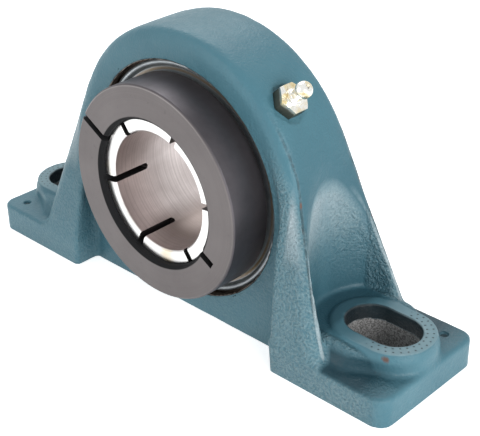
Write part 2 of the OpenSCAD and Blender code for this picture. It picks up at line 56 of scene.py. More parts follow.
def link(name, data):
    obj = bpy.data.objects.new(name, data)
    bpy.context.scene.collection.objects.link(obj)
    return obj


def smooth(mesh, sharpFrom=35):
    # edges steeper than sharpFrom stay sharp
    mesh.shade_smooth()
    mesh.set_sharp_from_angle(angle=math.radians(sharpFrom))


def newMesh(name, points, faces, sharpFrom=35):
    mesh = bpy.data.meshes.new(name)
    mesh.from_pydata([tuple(p) for p in np.asarray(points) * mm], [], faces)
    mesh.validate()
    bm = bmesh.new()
    bm.from_mesh(mesh)
    bmesh.ops.recalc_face_normals(bm, faces=bm.faces)
    bm.to_mesh(mesh)
    bm.free()
    smooth(mesh, sharpFrom)
    return link(name, mesh)


def roundedProfile(corners, steps):
    # corners are (radius, along, fillet); each fillet becomes a small arc
    points = []
    for i, (r, a, fillet) in enumerate(corners):
        here = np.array([r, a], float)
        if fillet <= 0:
            points.append(here)
            continue
        back = np.array(corners[i - 1][:2], float) - here
        ahead = np.array(corners[(i + 1) % len(corners)][:2], float) - here
        back /= np.linalg.norm(back)
        ahead /= np.linalg.norm(ahead)
        half = math.acos(max(-1, min(1, back @ ahead))) / 2
        reach = fillet / math.tan(half)
        centre = here + (back + ahead) / np.linalg.norm(back + ahead) * fillet / math.sin(half)
        first = here + back * reach - centre
        last = here + ahead * reach - centre
        turn = math.atan2(first[0] * last[1] - first[1] * last[0], first @ last)
        for s in range(steps + 1):
            c, n = math.cos(turn * s / steps), math.sin(turn * s / steps)
            points.append(centre + np.array([first[0] * c - first[1] * n, first[0] * n + first[1] * c]))
    return points


def arc(radius, along, size, start, end, steps):
    # profile corners on part of a circle, with its angles measured from the radial direction
    turns = np.radians(np.linspace(start, end, steps + 1))
    return [(radius + size * math.cos(t), along + size * math.sin(t), 0) for t in turns]


def turned(name, corners, place=shaftPlace, segments=240, steps=4):
    # a closed ring of metal turned from a profile
    profile = roundedProfile(corners, steps)
    n = len(profile)
    angles = np.linspace(0, 2 * math.pi, segments, endpoint=False)
    points = [place @ Vector((r * math.cos(t), r * math.sin(t), a)) for t in angles for r, a in profile]
    faces = []
    for s in range(segments):
        a, b = s * n, (s + 1) % segments * n
        for i in range(n):
            j = (i + 1) % n
            faces.append((a + i, a + j, b + j, b + i))
    return newMesh(name, points, faces)


def cutWith(obj, cutters, kind="DIFFERENCE"):
    # cuts the piece with each cutter, then removes the cutters
    for cutter in cutters:
        modifier = obj.modifiers.new("cut", "BOOLEAN")
        modifier.operation = kind
        modifier.solver = "EXACT"
        modifier.object = cutter
    bpy.context.view_layer.update()
    graph = bpy.context.evaluated_depsgraph_get()
    mesh = bpy.data.meshes.new_from_object(obj.evaluated_get(graph))
    obj.modifiers.clear()
    obj.data = mesh
    smooth(mesh)
    for cutter in cutters:
        bpy.data.objects.remove(cutter)
    return obj


def prism(outline, low, high, place):
    # a straight bar with the given outline, from low to high along its own Z
    k = len(outline)
    points = [place @ Vector((u, v, w)) for w in (low, high) for u, v in outline]
    faces = [tuple(range(k)), tuple(range(k, 2 * k))]
    faces += [(i, i + k, (i + 1) % k + k, (i + 1) % k) for i in range(k)]
    return newMesh("cutter", points, faces)


def atAngle(angle):
    # X out from the shaft at an angle seen from the front, Y along the shaft
    return Matrix.Translation((0, 0, shaftHeight)) @ Matrix.Rotation(math.radians(-angle), 4, "Y")


def slitCutter(angle, width, outer, start, end, roundEnd=False, inner=5, arcPoints=13):
    # a thin radial slab, drawn along the shaft and across it, and run out from the axis
    half = width / 2
    outline = [(start, half), (start, -half)]
    if roundEnd:
        turns = np.linspace(-math.pi / 2, math.pi / 2, arcPoints)
        outline += [(end + half * math.cos(t), half * math.sin(t)) for t in turns]
    else:
        outline += [(end, -half), (end, half)]
    # the slab's own X lies along the shaft, its Y across and its Z outward
    place = atAngle(angle) @ Matrix(((0, 0, 1, 0), (1, 0, 0, 0), (0, 1, 0, 0), (0, 0, 0, 1)))
    return prism(outline, inner, outer, place)


def drillCutter(place, radius, low, high, sides=64):
    turns = np.linspace(0, 2 * math.pi, sides, endpoint=False)
    return prism([(radius * math.cos(t), radius * math.sin(t)) for t in turns], low, high, place)


housing = {
    # foot and base
    "baseLength": 222.94, "baseWidth": 57.54, "baseLevel": 0.03, "cornerRadius": 6.0, "footHeight": 12.5,
    "footEdge": 1.5, "baseEdge": 2.0, "groundEdge": 0.5,
    # the arch: its ring, the crown's fall to both sides and the bevel on its edges
    "crownRadius": 62.35, "barrelWidth": 34.6, "crownFlat": 8.0, "crownFall": 0.8, "fallWidth": 7.1,
    "fallMost": 1.3, "crownBlend": 16, "crownShare": 0.4, "bevelDepth": 2.8, "bevelWidth": 2.2,
    "legBevelDepth": 0.5, "legBevelWidth": 0.4, "bevelSoft": 1.5,
    # the legs and the gap between them; the two scales keep each field's slope near one
    "legLean": 18.5, "legStart": 31.03, "legTaper": 0.1786, "legScale": 0.984, "legEdge": 2.0,
    "legGap": 58.0, "gapTaper": 0.0874, "gapScale": 0.996, "gapRadius": 54.0, "gapSoft": 1.5,
    # the machined seat for the insert, its loading notch and the bevel at its mouth
    "seatSphere": 52.04, "seatMouth": 49.88, "mouthScale": 0.7, "notchHalf": 11.8, "boreEdge": 0.5,
    # the pocket over each bolt
    "pocketX": 84.7, "pocketRadius": 25.0, "pocketHalf": 22.5, "pocketCorner": 6, "pocketEdge": 1.5,
    # the slots, each with its seat and the shoulder round the seat
    "boltX": 88.9, "slotRadius": 10.2, "slotHalf": 5.3, "slotEdge": 1.0,
    "seatRadius": 15.9, "seatHeight": 21.2, "seatEdge": 1.0, "seatBlend": 1.6,
    "shoulderRadius": 20.4, "shoulderHeight": 19.0, "shoulderScale": 0.94, "shoulderEdge": 2.2,
    "shoulderRise": 1.3, "riseHalf": 8, "shoulderSlope": 0.36, "shoulderRunOut": 3.9, "slopeRunOut": 0.28,
    "runOutStart": 3, "runOutWidth": 13, "bossStart": 60, "bossEdge": 1,
    # dimples for dowels, and the flat under the grease fitting
    "dowelX": 102.2, "dowelY": 20.8, "dowelRadius": 1.7, "dowelDepth": 1.2, "dowelEdge": 0.8,
    "fittingTurn": 43.0, "fittingOffset": 5.4, "fittingFlat": 7.2, "fittingSeat": 61.4, "fittingEdge": 0.8,
    # fillets between leg, foot and boss, and the rough skin's two sizes of lump
    "legBlend": 3.4, "footBlend": 3.6, "bossBlend": 2.2,
    "skinFine": 0.05, "fineSize": 9.0, "skinBroad": 0.10, "broadSize": 23.0, "broadShift": 40,
    # the grid that the surface is drawn through
    "step": 1.1, "marginLow": (1.7, 1.6, 1.3), "marginHigh": 2, "sharpFrom": 38,
}
# the waves of the skin's lumps: direction, then the direction, rate and reach of its bend, and its start
skinWaves = [
    ((0.91, 0.33, 0.11), (0.0, -0.6, 1.0), 0.53, 1.7, 0.0),
    ((0.20, 0.83, -0.41), (1.0, 0.0, 0.7), 0.47, 1.3, 1.1),
    ((0.29, -0.35, 0.87), (-0.4, 1.0, 0.0), 0.59, 1.5, 2.3),
]


def roundMax(a, b, k):
    # the larger of two fields, with the edge between them rounded
    h = np.maximum(k - np.abs(a - b), 0) / k
    return np.maximum(a, b) + h * h * k / 4


def roundMin(a, b, k):
    return -roundMax(-a, -b, k)


def eased(share):
    # clips to 0 and 1, and starts and ends gently
    t = np.clip(share, 0, 1)
    return t * t * (3 - 2 * t)


def lumps(x, y, z, size):
    # slow, uneven waves, for the skin of a sand casting
    pitch = 2 * math.pi / size
    waves = []
    for (a, b, c), (p, q, r), rate, reach, start in skinWaves:
        bend = reach * np.sin(pitch * rate * (p * x + q * y + r * z))
        waves.append(np.sin(pitch * (a * x + b * y + c * z) + bend + start))
    first, second, third = waves
    return (first * second + second * third + third * first) / 3


def archField(ax, ay, up, z):
    # the ring and the legs under it, with a bevel along their outer edges
    h = dotted(housing)
    lean = math.radians(h.legLean)
    cosL, sinL = math.cos(lean), math.sin(lean)
    ring = np.sqrt(ax * ax + up * up)
    above = up * cosL - ax * sinL
    outline = np.where(above > 0, ring, ax * cosL + up * sinL) - h.crownRadius
    crown = np.clip(above / h.crownBlend + h.crownShare, 0, 1)
    fall = np.clip((ay - h.crownFlat) / h.fallWidth, 0, h.fallMost)
    outline = outline + h.crownFall * fall ** 2 * crown

    face = ay - h.barrelWidth / 2
    front = (ay - (h.legStart - h.legTaper * z)) * h.legScale
    gapLine = (ax - (h.legGap - h.gapTaper * z)) * h.gapScale
    gap = roundMin(np.maximum(gapLine, up), ring - h.gapRadius, h.gapSoft)
    legs = roundMax(front, -gap, h.legEdge)
    slab = roundMin(face, legs, h.legBlend)
    depth = h.bevelDepth + h.legBevelDepth * (1 - crown)
    width = h.bevelWidth + h.legBevelWidth * (1 - crown)
    bevel = (outline / depth + slab / width + 1) / np.hypot(1 / depth, 1 / width)
    return roundMax(np.maximum(outline, slab), bevel, h.bevelSoft), gapLine


def bossField(ax, y, z, around):
    # the raised seat round each slot, on a sloping shoulder
    h = dotted(housing)
    back = eased((h.boltX + h.riseHalf - ax) / (2 * h.riseHalf))
    level = h.shoulderHeight + h.shoulderRise * back
    # the shoulder runs out into the seat's own wall towards the end of the foot
    out = eased((ax - h.boltX + h.runOutStart) / h.runOutWidth)
    slope = h.shoulderSlope - h.slopeRunOut * out
    reach = h.shoulderRadius - h.shoulderRunOut * out + (level - z) * slope
    past = np.maximum(ax - h.boltX - h.slotHalf, 0)
    cone = (np.hypot(past, y) - reach) * h.shoulderScale
    shoulder = roundMax(cone, z - level, h.shoulderEdge)
    seat = roundMax(np.hypot(around, y) - h.seatRadius, z - h.seatHeight, h.seatEdge)
    return roundMax(roundMin(shoulder, seat, h.seatBlend), h.bossStart - ax, h.bossEdge)


def castingField(x, y, z):
    # below zero inside the metal and above zero outside it
    h = dotted(housing)
    ax, ay, up = np.abs(x), np.abs(y), z - shaftHeight
    ring = np.sqrt(ax * ax + up * up)
    around = np.maximum(np.abs(ax - h.boltX) - h.slotHalf, 0)
    body, gapLine = archField(ax, ay, up, z)

    inner = ax - h.pocketX
    well = np.where(inner < 0, np.hypot(np.minimum(inner, 0), y), ay) - h.pocketRadius
    pocket = roundMax(well, ay - h.pocketHalf, h.pocketCorner)
    body = roundMax(body, -pocket, h.pocketEdge)
    foot = roundMax(z - h.footHeight, -gapLine, h.footEdge)
    body = roundMin(body, foot, h.footBlend)
    body = roundMin(body, bossField(ax, y, z, around), h.bossBlend)

    # the rough skin only takes metal away
    body = body + h.skinFine * (1 + lumps(x, y, z, h.fineSize))
    body = body + h.skinBroad * (1 + lumps(x + h.broadShift, y, z, h.broadSize))

    # the foot's outline, the ground base, the slots and the dimples
    qx = ax - (h.baseLength / 2 - h.cornerRadius)
    qy = ay - (h.baseWidth / 2 - h.cornerRadius)
    plan = np.hypot(np.maximum(qx, 0), np.maximum(qy, 0)) + np.minimum(np.maximum(qx, qy), 0)
    body = roundMax(body, plan - h.cornerRadius, h.baseEdge)
    body = roundMax(body, h.baseLevel - z, h.groundEdge)
    body = roundMax(body, h.slotRadius - np.hypot(around, y), h.slotEdge)
    dowel = np.hypot(x - np.sign(x) * h.dowelX, y - np.sign(x) * h.dowelY) - h.dowelRadius
    body = roundMax(body, -np.maximum(dowel, h.footHeight - h.dowelDepth - z), h.dowelEdge)

    # the machined seat, its mouth and its notch, and the flat for the fitting
    centre = np.sqrt(ring * ring + y * y)
    body = roundMax(body, h.seatSphere - centre, h.boreEdge)
    mouth = (ring - h.seatMouth) * h.mouthScale + (h.barrelWidth / 2 - ay) * h.mouthScale
    body = np.maximum(body, -mouth)
    notch = np.maximum(np.maximum(np.abs(up) - h.notchHalf, -y), ring - h.seatSphere)
    body = roundMax(body, -notch, h.boreEdge)
    turn = math.radians(h.fittingTurn)
    radial = x * math.cos(turn) + up * math.sin(turn)
    beside = -x * math.sin(turn) + up * math.cos(turn)
    flat = np.hypot(beside, y + h.fittingOffset) - h.fittingFlat
    return roundMax(body, -np.maximum(flat, h.fittingSeat - radial), h.fittingEdge)


# tries for each crossing, the step its slope is taken over, and the pull to the middle of its crossings
surface = {"tries": 4, "slopeStep": 0.02, "pull": 0.06, "tiny": 1e-12}


def crossingsAlong(axis, axes, value, field, step):
    # where the surface crosses the grid's lines along one axis, and the four cells round each crossing
    inside = value < 0
    index = np.stack(np.nonzero(np.diff(inside, axis=axis)), 1)
    u, v = (axis + 1) % 3, (axis + 2) % 3
    index = index[(index[:, [u, v]] > 0).all(1)]
    nextIndex = index.copy()
    nextIndex[:, axis] += 1
    d0, d1 = value[tuple(index.T)], value[tuple(nextIndex.T)]
    points = np.stack([axes[a][index[:, a]] for a in range(3)], 1)
    near, far = np.zeros(len(points)), np.full(len(points), float(step))
    for _ in range(surface["tries"]):
        t = near + (far - near) * d0 / (d0 - d1)
        probe = points.copy()
        probe[:, axis] += t
        d = field(*probe.T)
        same = (d < 0) == (d0 < 0)
        near, d0 = np.where(same, t, near), np.where(same, d, d0)
        far, d1 = np.where(same, far, t), np.where(same, d1, d)
    points[:, axis] += near + (far - near) * d0 / (d0 - d1 + surface["tiny"])

    cells = []
    for du, dv in ((0, 0), (1, 0), (1, 1), (0, 1)):
        cell = index.copy()
        cell[:, u] -= du
        cell[:, v] -= dv
        cells.append(np.ravel_multi_index(tuple(cell.T), value.shape))
    cells = np.stack(cells, 1)
    flip = ~inside[tuple(index.T)]
    cells[flip] = cells[flip][:, ::-1]
    return points, cells


def settle(points, slope, where, count):
    # the place in each cell that fits the slopes at its crossings best
    def gather(values):
        return sum(np.bincount(where[:, c], weights=values, minlength=count) for c in range(4))

    total = gather(np.ones(len(points)))
    mean = np.stack([gather(points[:, a]) for a in range(3)], 1) / total[:, None]
    matrix, right = np.zeros((count, 3, 3)), np.zeros((count, 3))
    reach = (slope * points).sum(1)
    for a in range(3):
        right[:, a] = gather(slope[:, a] * reach)
        for b in range(a, 3):
            matrix[:, a, b] = matrix[:, b, a] = gather(slope[:, a] * slope[:, b])
    right -= np.einsum("nab,nb->na", matrix, mean)
    matrix += np.eye(3) * surface["pull"]
    return mean + np.linalg.solve(matrix, right[:, :, None])[:, :, 0]


def surfaceThrough(field, low, high, step):
    # one point in each cell that the surface crosses, and the four-sided faces between them
    axes = [np.arange(a, b + step, step) for a, b in zip(low, high)]
    value = field(*np.meshgrid(*axes, indexing="ij"))
    found = [crossingsAlong(axis, axes, value, field, step) for axis in range(3)]
    points = np.concatenate([crossings for crossings, cells in found])
    corners = np.concatenate([cells for crossings, cells in found])
    nudges = np.eye(3) * surface["slopeStep"]
    slope = np.stack([field(*(points + e).T) - field(*(points - e).T) for e in nudges], 1)
    slope /= np.linalg.norm(slope, axis=1)[:, None] + surface["tiny"]
    used, where = np.unique(corners, return_inverse=True)
    where = where.reshape(corners.shape)
    index = np.unravel_index(used, value.shape)
    cellLow = np.stack([axes[a][index[a]] for a in range(3)], 1)
    return np.clip(settle(points, slope, where, len(used)), cellLow, cellLow + step), where


def makeHousing():
    h = dotted(housing)
    beyond = h.marginHigh
    low = [-edge - margin for edge, margin in zip((h.baseLength / 2, h.baseWidth / 2, 0), h.marginLow)]
    high = (h.baseLength / 2 + beyond, h.baseWidth / 2 + beyond, shaftHeight + h.crownRadius + beyond)
    points, faces = surfaceThrough(castingField, low, high, h.step)
    print("housing surface:", len(points), "points,", 2 * len(faces), "triangles")
    return newMesh("housingCasting", points, faces.tolist(), h.sharpFrom)


def put(tree, socket, value):
    # joins a node's output to the socket, or sets it to a number or a colour
    if isinstance(value, bpy.types.NodeSocket):
        tree.links.new(value, socket)
    elif value is not None:
        socket.default_value = (*value, 1) if socket.type == "RGBA" else value


def addNode(tree, kind, inputs=None, **values):
    made = tree.nodes.new(kind)
    for key, value in values.items():
        setattr(made, key, value)
    for key, value in (inputs or {}).items():
        put(tree, made.inputs[key], value)
    return made


class Finish:
    # a short way to build a node material, with places in mm and the scale of patterns per metre
    sockets = {
        "color": "Base Color", "metal": "Metallic", "rough": "Roughness", "normal": "Normal",
        "anisotropic": "Anisotropic", "tangent": "Tangent", "specular": "Specular IOR Level",
        "glow": "Emission Strength", "glowColor": "Emission Color",
    }

    def __init__(self, name):
        self.material = bpy.data.materials.new(name)
        self.material.use_nodes = True
        self.tree = self.material.node_tree
        self.shader = self.tree.nodes["Principled BSDF"]
        self.coordinates = self.node("ShaderNodeTexCoord")
        self.place = self.coordinates.outputs["Object"]

    def node(self, kind, inputs=None, **values):
        return addNode(self.tree, kind, inputs, **values)

    def set(self, **values):
        for key, value in values.items():
            put(self.tree, self.shader.inputs[self.sockets[key]], value)
        return self.material

    def noise(self, scale, detail=4.0, rough=0.55, distort=0.0, place=None):
        return self.node("ShaderNodeTexNoise", {
            "Vector": place or self.place, "Scale": scale, "Detail": detail, "Roughness": rough,
            "Distortion": distort}).outputs["Fac"]

    def ramp(self, value, low, high, start=0.0, end=1.0):
        return self.node("ShaderNodeMapRange", {
            "Value": value, "From Min": low, "From Max": high, "To Min": start, "To Max": end},
            clamp=True).outputs["Result"]

    def within(self, *limits):
        # a share from 0 to 1: one ramp for each pair of value and limits, all multiplied
        return self.times(*[self.ramp(value, *ends) for value, ends in limits])

    def calc(self, kind, a, b=None):
        return self.node("ShaderNodeMath", {0: a, 1: b}, operation=kind).outputs[0]

    def chain(self, kind, values):
        total = values[0]
        for value in values[1:]:
            total = self.calc(kind, total, value)
        return total

    def times(self, *values):
        return self.chain("MULTIPLY", values)

    def plus(self, *values):
        return self.chain("ADD", values)

    def highest(self, *values):
        return self.chain("MAXIMUM", values)

    def minus(self, a, b):
        return self.calc("SUBTRACT", a, b)

    def size(self, a):
        return self.calc("ABSOLUTE", a)

    def length(self, *sides):
        return self.calc("SQRT", self.plus(*[self.times(side, side) for side in sides]))

    def blend(self, share, a, b):
        # sockets 6 and 7 and output 2 are the mix node's colours
        return self.node("ShaderNodeMix", {"Factor": share, 6: a, 7: b}, data_type="RGBA").outputs[2]

    def coats(self, color, layers):
        # lays one coat over another, each with its share and colour
        for share, layer in layers:
            color = self.blend(share, color, layer)
        return color

    def bump(self, height, distance, strength=1.0, normal=None):
        return self.node("ShaderNodeBump", {
            "Height": height, "Distance": distance, "Strength": strength, "Normal": normal}).outputs["Normal"]

    def scaled(self, vector, factor):
        return self.node("ShaderNodeVectorMath", {0: vector, "Scale": factor}, operation="SCALE").outputs[0]

    def parts(self, vector):
        return self.node("ShaderNodeSeparateXYZ", {0: vector}).outputs

    def here(self):
        # x, y and z in mm
        return self.parts(self.scaled(self.place, 1 / mm))

    def pattern(self, *sides):
        # the place for a noise that changes only along the given sides
        return self.scaled(self.node("ShaderNodeCombineXYZ", dict(enumerate(sides))).outputs[0], mm)

    def shaft(self):
        # x across, y along, up and radius from the shaft's axis, and the place for a pattern of rings
        x, y, z = self.here()
        up = self.minus(z, shaftHeight)
        radius = self.length(x, up)
        return SimpleNamespace(x=x, y=y, up=up, radius=radius, rings=self.pattern(radius, y))

    def slitWall(self, p, limits=(0.55, 0.80)):
        # one on walls that face round the shaft, such as those of a slit
        facing = self.parts(self.coordinates.outputs["Normal"])
        across = self.minus(self.times(facing[2], p.x), self.times(facing[0], p.up))
        return self.ramp(self.size(self.calc("DIVIDE", across, p.radius)), *limits)


paintLook = {
    "paint": (0.080, 0.212, 0.270), "pale": (0.108, 0.258, 0.318), "dark": (0.036, 0.104, 0.136),
    "frost": (0.300, 0.430, 0.470), "archFrost": (0.50, 0.60, 0.64), "lip": (0.50, 0.62, 0.66),
    "edgeLine": (0.030, 0.058, 0.066), "rust": (0.17, 0.062, 0.028), "footTop": (0.018, 0.062, 0.084),
    "slotShade": (0.008, 0.010, 0.012), "iron": (0.46, 0.45, 0.445), "ironDark": (0.17, 0.165, 0.16),
    "seat": (0.34, 0.30, 0.26), "seatDark": (0.060, 0.050, 0.044), "mark": (0.025, 0.050, 0.060),
    "dimple": (0.012, 0.030, 0.038),
    "ribShare": 0.50, "lineShare": 0.60, "brownShare": 0.8, "slotShare": 0.92, "markShare": 0.80,
    "dimpleShare": 0.85, "rustShare": 0.80,
    "roughness": (0.33, 0.46), "bareRough": 0.35, "coarseRough": -0.05, "specular": 0.3, "seatMetal": 0.7,
    # the skin's grain and ripple: their heights in metres, and what each noise adds to them
    "grain": 0.0014, "sand": 0.95, "wide": 0.50, "onCoarse": 0.82, "onSmooth": 0.18, "seatSmooth": 0.8,
    "ripple": 0.0006, "rippleStrength": 0.6, "slow": 0.55, "lineGroove": 0.5,
}
# where each part of the paint starts and where it is full, in mm; two more numbers are its shares there
paintAt = {
    "pocketDepth": (-1.2, -3.5), "pocketSide": (23.4, 22.2), "pocketStart": (58, 60),
    "pocketFloor": (52, 20, 0, 0.90),
    "legSide": (16.8, 18.2), "legTop": (94, 70), "legEnd": (111, 100), "leftLeg": (-12, 12, 0.35, 1.0),
    "archFoot": (26, 50), "archFrost": (40, 64), "archRear": (16, -12, 0.25, 0.95),
    "ribDepth": (-3.0, -1.2), "ribTop": (100, 66), "ribFoot": (18, 26), "ribSide": (0.4, -0.2),
    "footLow": (10.8, 12.2), "footHigh": (20.5, 16.5), "footRound": (16.0, 17.2), "footEnd": (112, 98),
    "footDepth": (-0.5, 2.0), "leftFoot": (-10, 10, 0.2, 1.0),
    "lipWidth": (1.0, 0.5), "lipTop": (66, 54), "lipInset": 0.3, "lipDepth": 0.4,
    "lineWidth": (0.55, 0.22), "lineRing": (58.8, 59.6), "lineDepth": (-3.2, -2.2), "lineLeg": (80, 76),
    "lineFoot": (26, 34), "lineTop": (100, 84), "edgeLeast": 14.9, "edgeInset": 2.6,
    "ironSide": (11.2, 10.6), "ironTop": (15.0, 14.4), "shadeSide": (11.0, 10.4), "shadeFoot": (14.4, 15.0),
    "insertSeat": (52.6, 52.3), "boltSeat": (20.5, 20.9), "boltSeatRim": (16.3, 15.7),
    "paleSeat": (-12, 4, 0.05, 0.55),
    "markSize": (0.48, 0.28), "markSide": (-3, -2), "markRows": ((11.8, 14, 0.0), (14.1, 16, 0.5)),
    "dimpleSize": (1.7, 1.2), "dimpleTop": (12.8, 12.2), "rustSize": (1.7, 0.6),
    "rustPlace": (101.2, -15.3, 19.0),
    # how far the noises push these borders about
    "wave": 30, "ragged": 1.6, "rustRagged": 4,
}


def castingPlaces(f):
    # distances on the casting in mm, alike on both sides and at both ends
    h, at = dotted(housing), dotted(paintAt)
    x, y, z = f.here()
    ax, ay = f.size(x), f.size(y)
    up = f.minus(z, shaftHeight)
    lean = math.radians(h.legLean)
    outward = f.plus(f.times(ax, math.cos(lean)), f.times(up, math.sin(lean)))
    legFace = f.minus(h.legStart, f.times(z, h.legTaper))
    alongSlot = f.highest(f.minus(f.size(f.minus(ax, h.boltX)), h.slotHalf), 0.0)
    besideWell = f.calc("MINIMUM", f.minus(ax, h.pocketX), 0.0)
    return SimpleNamespace(
        x=x, y=y, z=z, ax=ax, ay=ay, ring=f.length(x, up), centre=f.length(x, y, up),
        depth=f.minus(outward, h.crownRadius),  # from the legs' outer faces, below zero in the metal
        edge=f.highest(at.edgeLeast, f.minus(legFace, at.edgeInset)),  # the inner side of the bevel
        slot=f.length(alongSlot, y), outer=f.minus(ax, h.boltX + h.slotHalf),
        well=f.minus(f.length(besideWell, y), h.pocketRadius))


def prickMarks(f, p):
    # two half circles of small prick marks on the outer half of the bolt seat
    angle = f.calc("ARCTAN2", p.y, p.outer)
    radius = f.length(p.outer, p.y)
    dots = []
    for row, count, shift in paintAt["markRows"]:
        turns = f.plus(f.times(angle, count / math.pi), shift)
        off = f.times(f.minus(f.calc("FRACT", turns), 0.5), row * math.pi / count)
        dots.append(f.ramp(f.length(off, f.minus(radius, row)), *paintAt["markSize"]))
    return f.highest(*dots)


def paintRegions(f, p, patches, grainWide):
    # shares from 0 to 1 that say where each coat and each kind of grain lies
    h, at = dotted(housing), dotted(paintAt)
    wavy = f.plus(p.z, f.times(f.minus(patches, 0.5), at.wave))
    slotZ = f.plus(p.z, f.times(f.minus(grainWide, 0.5), at.ragged))
    on = SimpleNamespace()
    on.pocket = f.within((p.depth, at.pocketDepth), (p.ay, at.pocketSide), (p.ax, at.pocketStart))
    on.arch = f.times(on.pocket, f.ramp(wavy, *at.archFoot))
    on.ribs = f.within((p.depth, at.ribDepth), (p.z, at.ribTop), (p.z, at.ribFoot),
                       (f.minus(p.ay, p.edge), at.ribSide))
    on.footTop = f.within((p.z, at.footLow), (p.z, at.footHigh), (p.slot, at.footRound),
                          (p.ax, at.footEnd), (p.depth, at.footDepth))
    legs = f.within((p.ay, at.legSide), (wavy, at.legTop), (p.ax, at.legEnd))
    # the grain and its painted glints are weaker on the left leg than on the right one
    on.coarse = f.times(f.highest(legs, on.arch), f.minus(1.0, on.footTop), f.ramp(p.x, *at.leftLeg))

    # where the painted highlight lies along the edge of each pocket
    offLip = f.length(f.plus(p.well, at.lipInset), f.plus(p.depth, at.lipDepth))
    on.lip = f.within((offLip, at.lipWidth), (p.z, at.lipTop))
    beyond = f.highest(f.ramp(p.ring, *at.lineRing), f.within((p.depth, at.lineDepth), (p.z, at.lineLeg)))
    broken = f.ramp(grainWide, 0.36, 0.52, 0.35, 1.0)
    on.line = f.times(f.ramp(f.size(f.minus(p.ay, p.edge)), *at.lineWidth), beyond, broken,
                      f.within((p.z, at.lineFoot), (p.z, at.lineTop)))

    on.iron = f.within((p.slot, at.ironSide), (slotZ, at.ironTop))
    on.shade = f.within((p.slot, at.shadeSide), (slotZ, at.shadeFoot))
    on.insertSeat = f.ramp(p.centre, *at.insertSeat)
    on.boltSeat = f.within((p.z, at.boltSeat), (p.slot, at.boltSeatRim))
    on.marks = f.times(prickMarks(f, p), on.boltSeat, f.ramp(p.outer, *at.markSide))
    dimpleY = f.minus(f.times(p.y, f.calc("SIGN", p.x)), h.dowelY)
    dimple = f.length(f.minus(p.ax, h.dowelX), dimpleY)
    on.dimple = f.within((dimple, at.dimpleSize), (p.z, at.dimpleTop))
    spot = f.length(*[f.minus(side, middle) for side, middle in zip((p.x, p.y, p.z), at.rustPlace)])
    spot = f.plus(spot, f.times(f.minus(grainWide, 0.5), at.rustRagged))
    on.rust = f.ramp(spot, *at.rustSize)
    return on


def paintFinish():
    look, at = dotted(paintLook), dotted(paintAt)
    f = Finish("housingPaint")
    p = castingPlaces(f)
    grainWide = f.noise(420, 4, 0.6)
    sand = f.noise(1000, 2, 0.55)
    patches = f.noise(30, 5, 0.6)
    broad = f.noise(9, 2, 0.5)
    on = paintRegions(f, p, patches, grainWide)

    iron = f.blend(f.ramp(f.noise(1500, 2, 0.6), 0.40, 0.62), look.ironDark, look.iron)
    seatLines = f.noise(700, 2, 0.6, place=f.pattern(p.y))
    seat = f.blend(f.ramp(seatLines, 0.40, 0.66), look.seatDark, look.seat)
    brown = f.ramp(f.noise(150, 2, 0.5), 0.60, 0.68)
    archSheenShare = f.within((p.z, at.archFrost), (p.y, at.archRear))
    paint = f.blend(f.ramp(patches, 0.35, 0.72), look.paint, look.pale)
    color = f.coats(paint, [
        (f.ramp(broad, 0.62, 0.32, 0, 0.35), look.dark),
        # painted shade on the outer faces of the ribs
        (f.times(on.ribs, look.ribShare), look.dark),
        # the light catches the grain on the coarse parts
        (f.times(f.ramp(sand, 0.36, 0.66, 0.06, 0.62), on.coarse), look.frost),
        # painted shade at the foot of the pockets, and a painted sheen high on the arches
        (f.times(on.pocket, f.ramp(p.z, *at.pocketFloor)), look.dark),
        (f.times(on.arch, archSheenShare), look.archFrost),
        # a painted highlight along the rounded edge of each pocket
        (f.times(on.lip, f.ramp(grainWide, 0.35, 0.5, 0.5, 0.9)), look.lip),
        # painted shade in the shallow groove along the inner side of the edge bevel, a thin dark line that is
        # brown with rust in places
        (f.times(on.line, look.lineShare), look.edgeLine),
        (f.times(on.line, brown, look.brownShare), look.rust),
        # painted shadow of the legs on the tops of the feet, fainter on the left foot
        (f.times(on.footTop, f.ramp(p.x, *at.leftFoot)), look.footTop),
        # bare iron low in the slots, under a band of shaded paint
        (f.times(on.shade, look.slotShare), look.slotShade),
        (on.iron, iron),
        (on.insertSeat, seat),
        # the outer half of each bolt seat is paler
        (f.times(on.boltSeat, f.ramp(p.outer, *at.paleSeat)), look.frost),
        (f.times(on.marks, look.markShare), look.mark),
        (f.times(on.dimple, look.dimpleShare), look.dimple),
        (f.times(on.rust, look.rustShare), look.rust),
    ])

    # sand grain, strong on the legs and the pocket arches, faint over the crown
    machined = f.highest(on.insertSeat, f.times(on.boltSeat, look.seatSmooth))
    skin = f.plus(f.times(sand, look.sand), f.times(grainWide, look.wide))
    skin = f.times(skin, f.plus(f.times(on.coarse, look.onCoarse), look.onSmooth), f.minus(1.0, machined))
    grooves = f.plus(on.marks, f.times(on.line, look.lineGroove))
    slow = f.minus(f.times(f.noise(60, 2, 0.5), look.slow), grooves)
    normal = f.bump(slow, look.ripple, look.rippleStrength, f.bump(skin, look.grain))
    roughness = f.plus(f.ramp(grainWide, 0.3, 0.7, *look.roughness),
                       f.times(f.highest(on.iron, on.rust), look.bareRough),
                       f.times(on.coarse, look.coarseRough))
    return f.set(color=color, rough=roughness, normal=normal, metal=f.times(on.insertSeat, look.seatMetal),
                 specular=look.specular)


turnedLook = {
    "darkSteel": {"color": (0.20, 0.165, 0.14), "shade": (0.08, 0.065, 0.055), "roughness": (0.28, 0.40),
                  "rings": 1700, "streak": 0.4, "depth": 0.00004},
    "ballSteel": {"color": (0.72, 0.72, 0.73), "shade": (0.66, 0.66, 0.67), "roughness": (0.06, 0.18),
                  "rings": 1200, "streak": 0.08, "depth": 0.00001},
    "cageSteel": {"color": (0.50, 0.46, 0.38), "shade": (0.36, 0.33, 0.27), "roughness": (0.27, 0.39),
                  "rings": 1500, "streak": 0.25, "depth": 0.00004},
}


